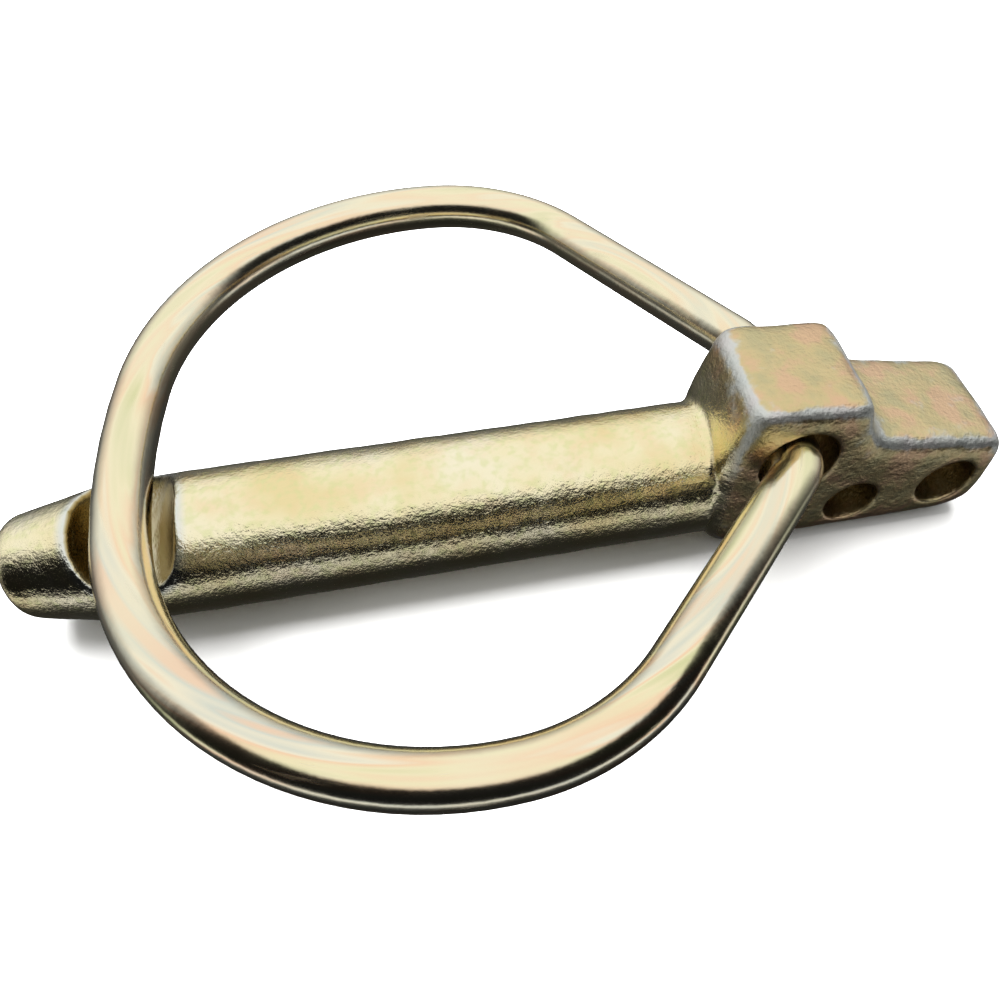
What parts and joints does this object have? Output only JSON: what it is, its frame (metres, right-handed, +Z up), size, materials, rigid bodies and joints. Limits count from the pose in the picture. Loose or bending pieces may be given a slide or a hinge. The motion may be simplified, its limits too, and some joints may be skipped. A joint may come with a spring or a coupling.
{
  "type": "lynch pin",
  "caption": "Forged lynch pin with a stepped, cross-drilled head and a D-shaped wire ring that swings over the tip and rests in a notch.",
  "frame": {"origin": "on the shaft's axis, at the shoulder where the head starts", "axes": "+X along the shaft towards the head; +Y across the head, along the cross hole that the ring swings in; +Z up, towards the ring and the notch"},
  "size_m": [0.0707, 0.0544, 0.0147],
  "materials": {
    "forged_plated_steel": "satin yellow zinc plate on a forged skin",
    "plated_wire": "bright yellow zinc plate on drawn wire"
  },
  "bodies": {
    "pin": {"pin": "forged_plated_steel"},
    "ring": {"ring": "plated_wire"}
  },
  "joints": [
    {"name": "ring_swing", "type": "hinge", "parent": "pin", "child": "ring", "pos_m": [0.00525, 0, 0.00528], "axis": [0, 1, 0], "range_deg": [0, 180]}
  ]
}
